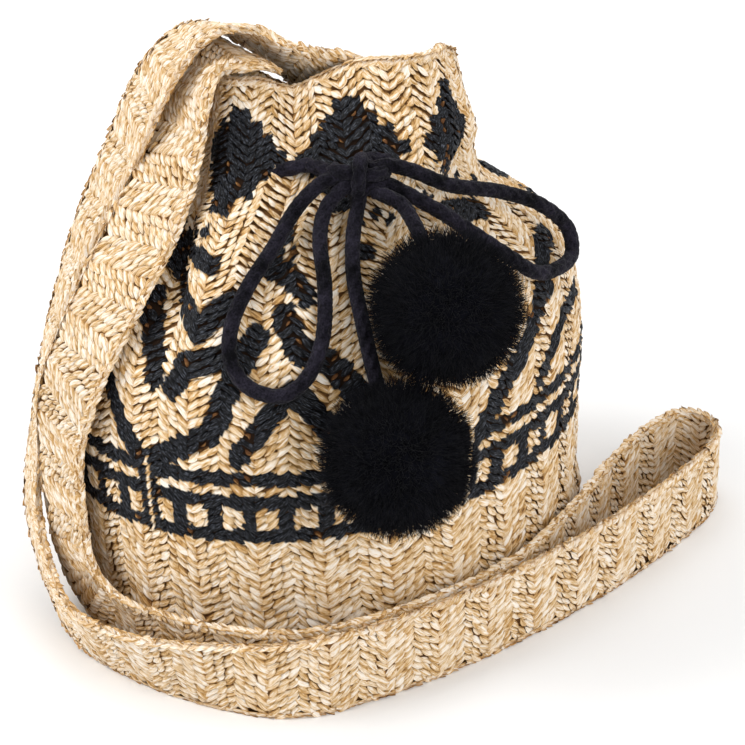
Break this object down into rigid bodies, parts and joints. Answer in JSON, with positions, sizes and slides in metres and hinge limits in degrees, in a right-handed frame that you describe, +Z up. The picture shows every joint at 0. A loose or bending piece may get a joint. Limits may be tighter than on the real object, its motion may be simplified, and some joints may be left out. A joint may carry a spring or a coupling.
{
  "type": "drawstring bucket bag",
  "caption": "Soft woven straw bucket bag with a gathered drawstring neck, a corded bow ending in pompoms, a black folk border and a long flat strap lying round it.",
  "frame": {"origin": "centre of the oval bottom panel's underside, on the surface the bag stands on", "axes": "+Z up, the bow faces -Y, +X to the right of the bow as seen from the front"},
  "size_m": [0.2942, 0.2501, 0.245],
  "materials": {
    "straw": "woven paper straw, matte with a slight sheen",
    "cord": "braided cotton, matte",
    "yarn": "cut yarn, matte"
  },
  "bodies": {
    "root": {"bag_wall": "straw", "bag_base": "straw", "strap": "straw", "drawstring_neck": "cord", "bow_knot": "cord", "bow_loop_left": "cord", "bow_loop_right": "cord", "tail_upper": "cord", "tail_lower": "cord", "pompom_upper": "yarn", "pompom_lower": "yarn"}
  },
  "joints": []
}
